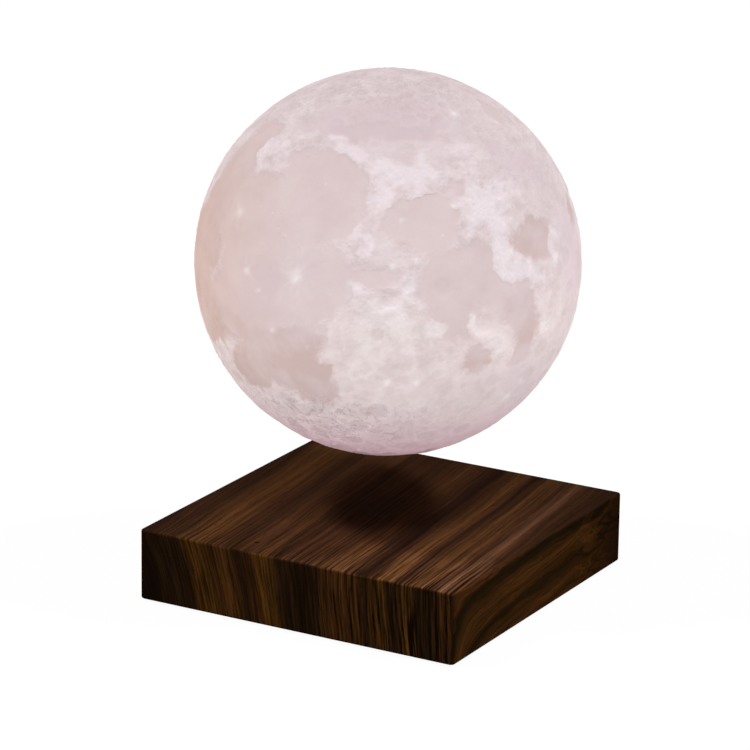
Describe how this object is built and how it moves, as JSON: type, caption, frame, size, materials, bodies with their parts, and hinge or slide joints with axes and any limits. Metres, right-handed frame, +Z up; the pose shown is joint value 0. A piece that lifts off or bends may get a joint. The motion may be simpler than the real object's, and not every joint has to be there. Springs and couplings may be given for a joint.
{
  "type": "floating moon lamp",
  "caption": "Table lamp: a lit hollow moon with craters hovers over a flat square walnut base that holds magnets, coils and a power inlet. The moon spins, lifts off and can be pressed down.",
  "frame": {"origin": "on the table, under the middle of the square base, in the plane of the rubber feet", "axes": "+Z up, through the middle of the base and of the moon; -Y towards the front face of the base; +Y towards its rear face with the power inlet and the touch key"},
  "size_m": [0.15, 0.15, 0.2061],
  "materials": {
    "walnut": "satin",
    "black_plastic": "matte",
    "white_plastic": "matte",
    "zinc_steel": "satin",
    "black_rubber": "matte",
    "green_circuit_board": "satin",
    "white_circuit_board": "satin",
    "ferrite": "matte",
    "nickel_plated_magnet": "polished",
    "enamelled_copper": "satin",
    "soft_iron": "satin",
    "plated_brass": "polished",
    "glass_fibre_sheet": "matte",
    "chip_resin": "matte",
    "can_aluminium": "satin",
    "printed_moon_plastic": "matte",
    "frosted_diffuser": "matte",
    "light_emitter": "gloss"
  },
  "bodies": {
    "base": {"base_housing": "walnut", "bottom_cover": "black_plastic", "cover_screws": "zinc_steel", "rubber_feet": "black_rubber", "control_board": "green_circuit_board", "magnet_tray": "black_plastic", "module_screws": "zinc_steel", "ring_magnet": "ferrite", "coil_pins": "plated_brass", "sensor_block": "black_plastic", "hall_sensors": "chip_resin", "top_plate": "glass_fibre_sheet", "transmit_coil": "enamelled_copper", "transmit_leads": "enamelled_copper", "driver_chips": "chip_resin", "controller_chip": "chip_resin", "capacitors": "can_aluminium", "power_inductor": "ferrite", "power_inlet": "black_plastic", "inlet_pin": "plated_brass", "touch_key": "zinc_steel", "touch_contact": "plated_brass", "bobbin_1": "black_plastic", "winding_1": "enamelled_copper", "core_1": "soft_iron", "bobbin_2": "black_plastic", "winding_2": "enamelled_copper", "core_2": "soft_iron", "bobbin_3": "black_plastic", "winding_3": "enamelled_copper", "core_3": "soft_iron", "bobbin_4": "black_plastic", "winding_4": "enamelled_copper", "core_4": "soft_iron"},
    "magnet_carrier": {"float_magnet": "nickel_plated_magnet"},
    "moon": {"moon_shell": "printed_moon_plastic", "moon_cap": "printed_moon_plastic", "receiver_coil": "enamelled_copper", "magnet_retainer": "black_plastic", "receiver_board": "green_circuit_board", "board_spacers": "white_plastic", "receiver_screws": "zinc_steel", "rectifier_chip": "chip_resin", "storage_capacitor": "can_aluminium", "led_board": "white_circuit_board", "led_posts": "white_plastic", "led_screws": "zinc_steel", "leds": "light_emitter", "diffuser_dome": "frosted_diffuser"}
  },
  "joints": [
    {"name": "moon_hover", "type": "slide", "parent": "base", "child": "magnet_carrier", "axis": [0, 0, 1], "range_m": [-0.026, 0.1], "stiffness_N_per_m": 61, "springref_m": 0.0411},
    {"name": "moon_spin", "type": "hinge", "parent": "magnet_carrier", "child": "moon", "pos_m": [0, 0, 0.1311], "axis": [0, 0, 1], "continuous": true}
  ]
}
